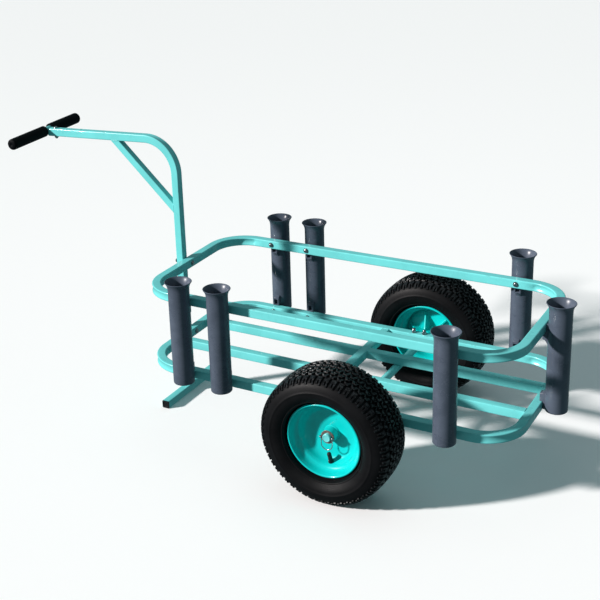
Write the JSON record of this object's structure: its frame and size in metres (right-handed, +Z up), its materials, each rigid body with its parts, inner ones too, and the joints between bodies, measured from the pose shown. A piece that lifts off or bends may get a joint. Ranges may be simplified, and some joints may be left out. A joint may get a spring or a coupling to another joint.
{
  "type": "beach cart",
  "caption": "Two-wheeled beach fishing cart with a bent square-tube basket, tubular rod holders bolted around it, a fixed draw arm with a T grip and fat pneumatic tyres.",
  "frame": {"origin": "on the ground, under the middle of the cart's overall box", "axes": "+X to the rear, away from the handle; +Y to the side of the far wheel, which is the right-hand side seen by the person who pulls it walking towards -X; +Z up"},
  "size_m": [1.8552, 0.924, 0.9011],
  "materials": {
    "frame_paint": "satin gloss enamel, pale turquoise",
    "wheel_paint": "gloss enamel, deeper turquoise",
    "holder_plastic": "moulded plastic, satin, dark grey",
    "grip_rubber": "soft foam rubber, matt black",
    "cap_plastic": "moulded plastic, satin black",
    "tyre_rubber": "vulcanised rubber, matt black",
    "fastener_steel": "plain stainless steel",
    "washer_steel": "brown oxidised steel",
    "sleeve_bronze": "oiled sintered bronze",
    "wire_steel": "drawn spring wire",
    "valve_rubber": "moulded rubber, black"
  },
  "bodies": {
    "frame": {"upper_rail": "frame_paint", "lower_rail": "frame_paint", "cross_member": "frame_paint", "slat_near_front": "frame_paint", "slat_near_rear": "frame_paint", "slat_far_front": "frame_paint", "slat_far_rear": "frame_paint", "mast": "frame_paint", "brace": "frame_paint", "foot_bar": "frame_paint", "foot_cap_near": "cap_plastic", "foot_cap_far": "cap_plastic", "grip_bar": "frame_paint", "grip_near": "grip_rubber", "grip_far": "grip_rubber", "grip_bolt": "fastener_steel", "mast_bolt_upper": "fastener_steel", "mast_bolt_lower": "fastener_steel", "rod_holder_1": "holder_plastic", "holder_bolt_1_upper": "fastener_steel", "holder_bolt_1_lower": "fastener_steel", "rod_holder_2": "holder_plastic", "holder_bolt_2_upper": "fastener_steel", "holder_bolt_2_lower": "fastener_steel", "rod_holder_3": "holder_plastic", "holder_bolt_3_upper": "fastener_steel", "holder_bolt_3_lower": "fastener_steel", "rod_holder_4": "holder_plastic", "holder_bolt_4_upper": "fastener_steel", "holder_bolt_4_lower": "fastener_steel", "rod_holder_5": "holder_plastic", "holder_bolt_5_upper": "fastener_steel", "holder_bolt_5_lower": "fastener_steel", "rod_holder_6": "holder_plastic", "holder_bolt_6_upper": "fastener_steel", "holder_bolt_6_lower": "fastener_steel", "rod_holder_7": "holder_plastic", "holder_bolt_7_upper": "fastener_steel", "holder_bolt_7_lower": "fastener_steel", "axle": "frame_paint", "u_bolt_near": "fastener_steel", "u_bolt_far": "fastener_steel", "washer_near": "washer_steel", "axle_pin_near": "fastener_steel", "washer_far": "washer_steel", "axle_pin_far": "fastener_steel"},
    "wheel_near": {"tyre_near": "tyre_rubber", "rim_near": "wheel_paint", "valve_near": "valve_rubber", "hub_near": "wheel_paint", "sleeve_near": "sleeve_bronze"},
    "wheel_far": {"tyre_far": "tyre_rubber", "rim_far": "wheel_paint", "valve_far": "valve_rubber", "hub_far": "wheel_paint", "sleeve_far": "sleeve_bronze"},
    "bail_near": {"pin_bail_near": "wire_steel"},
    "bail_far": {"pin_bail_far": "wire_steel"}
  },
  "joints": [
    {"name": "wheel_near_spin", "type": "hinge", "parent": "frame", "child": "wheel_near", "pos_m": [0.35099, -0.378, 0.2032], "axis": [0, 1, 0], "continuous": true},
    {"name": "wheel_far_spin", "type": "hinge", "parent": "frame", "child": "wheel_far", "pos_m": [0.35099, 0.378, 0.2032], "axis": [0, 1, 0], "continuous": true},
    {"name": "bail_near_swing", "type": "hinge", "parent": "frame", "child": "bail_near", "pos_m": [0.35099, -0.4128, 0.2032], "axis": [-1, 0, 0], "range_deg": [0, 175]},
    {"name": "bail_far_swing", "type": "hinge", "parent": "frame", "child": "bail_far", "pos_m": [0.35099, 0.4128, 0.2032], "axis": [1, 0, 0], "range_deg": [0, 175]}
  ]
}
